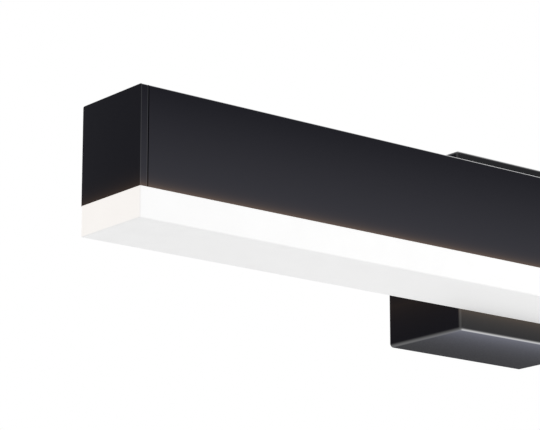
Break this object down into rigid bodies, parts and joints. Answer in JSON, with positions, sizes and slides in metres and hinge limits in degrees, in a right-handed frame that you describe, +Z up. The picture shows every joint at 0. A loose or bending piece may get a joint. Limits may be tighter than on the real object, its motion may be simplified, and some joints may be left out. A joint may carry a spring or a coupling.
{
  "type": "vanity light bar",
  "caption": "Wall-mounted LED vanity light: a long rectangular black bar with an opal diffuser along its underside, carried off the wall by a box canopy.",
  "frame": {"origin": "on the wall plane, midway between the two slots of the wall plate, which is the canopy's centre", "axes": "+X along the bar to the viewer's right, +Y into the wall, +Z up"},
  "size_m": [0.711, 0.127, 0.12],
  "materials": {
    "black_powder_coat": "satin black powder coat with a very fine texture",
    "black_coated_aluminium": "aluminium under a satin black powder coat",
    "opal_acrylic": "opal acrylic, satin, lit from behind",
    "galvanised_steel": "hot-dip galvanised sheet",
    "zinc_plate": "zinc-plated steel",
    "black_oxide": "black oxide steel screw",
    "ground_green": "green dyed zinc plate",
    "spring_steel": "bright spring steel",
    "mill_aluminium": "mill-finish aluminium strip",
    "white_solder_mask": "white solder mask on a metal-core board",
    "led_phosphor": "white package with a phosphor window",
    "white_nylon": "white moulded polyamide",
    "driver_polycarbonate": "fine textured moulded polycarbonate",
    "black_nylon": "black moulded polyamide",
    "black_rubber": "black moulded rubber",
    "nickel_brass": "nickel-plated brass",
    "tinned_copper": "tinned copper",
    "pvc_black": "extruded black insulation",
    "pvc_white": "extruded white insulation",
    "pvc_green": "extruded green insulation",
    "pvc_red": "extruded red insulation"
  },
  "bodies": {
    "wall_fixing": {"wall_plate": "galvanised_steel", "ground_screw": "ground_green", "canopy_screws": "black_oxide"},
    "light": {"canopy": "black_powder_coat", "housing": "black_coated_aluminium", "left_end_cap": "black_coated_aluminium", "right_end_cap": "black_coated_aluminium", "end_cap_screws": "black_oxide", "led_tray": "mill_aluminium", "tray_grommet": "black_rubber", "tray_screws": "zinc_plate", "diffuser_clips": "spring_steel", "left_led_board": "white_solder_mask", "right_led_board": "white_solder_mask", "led_packages": "led_phosphor", "board_connectors": "white_nylon", "board_screws": "zinc_plate", "threaded_nipples": "zinc_plate", "nipple_nuts": "zinc_plate", "lock_washers": "zinc_plate", "nipple_bushings": "black_nylon", "driver_case": "driver_polycarbonate", "driver_cover": "driver_polycarbonate", "terminal_block": "white_nylon", "terminal_screws": "nickel_brass", "weld_studs": "zinc_plate", "stud_nuts": "zinc_plate", "earth_ring_terminal": "tinned_copper", "line_lead": "pvc_black", "neutral_lead": "pvc_white", "earth_lead": "pvc_green", "positive_lead": "pvc_red", "negative_lead": "pvc_black", "link_lead": "pvc_white"},
    "diffuser_trough": {"diffuser": "opal_acrylic", "diffuser_end_plates": "opal_acrylic"}
  },
  "joints": [
    {"name": "canopy_lift_off", "type": "slide", "parent": "wall_fixing", "child": "light", "axis": [0, -1, 0], "range_m": [0, 0.05]},
    {"name": "diffuser_pull", "type": "slide", "parent": "light", "child": "diffuser_trough", "axis": [0, 0, -1], "range_m": [0, 0.04]}
  ]
}
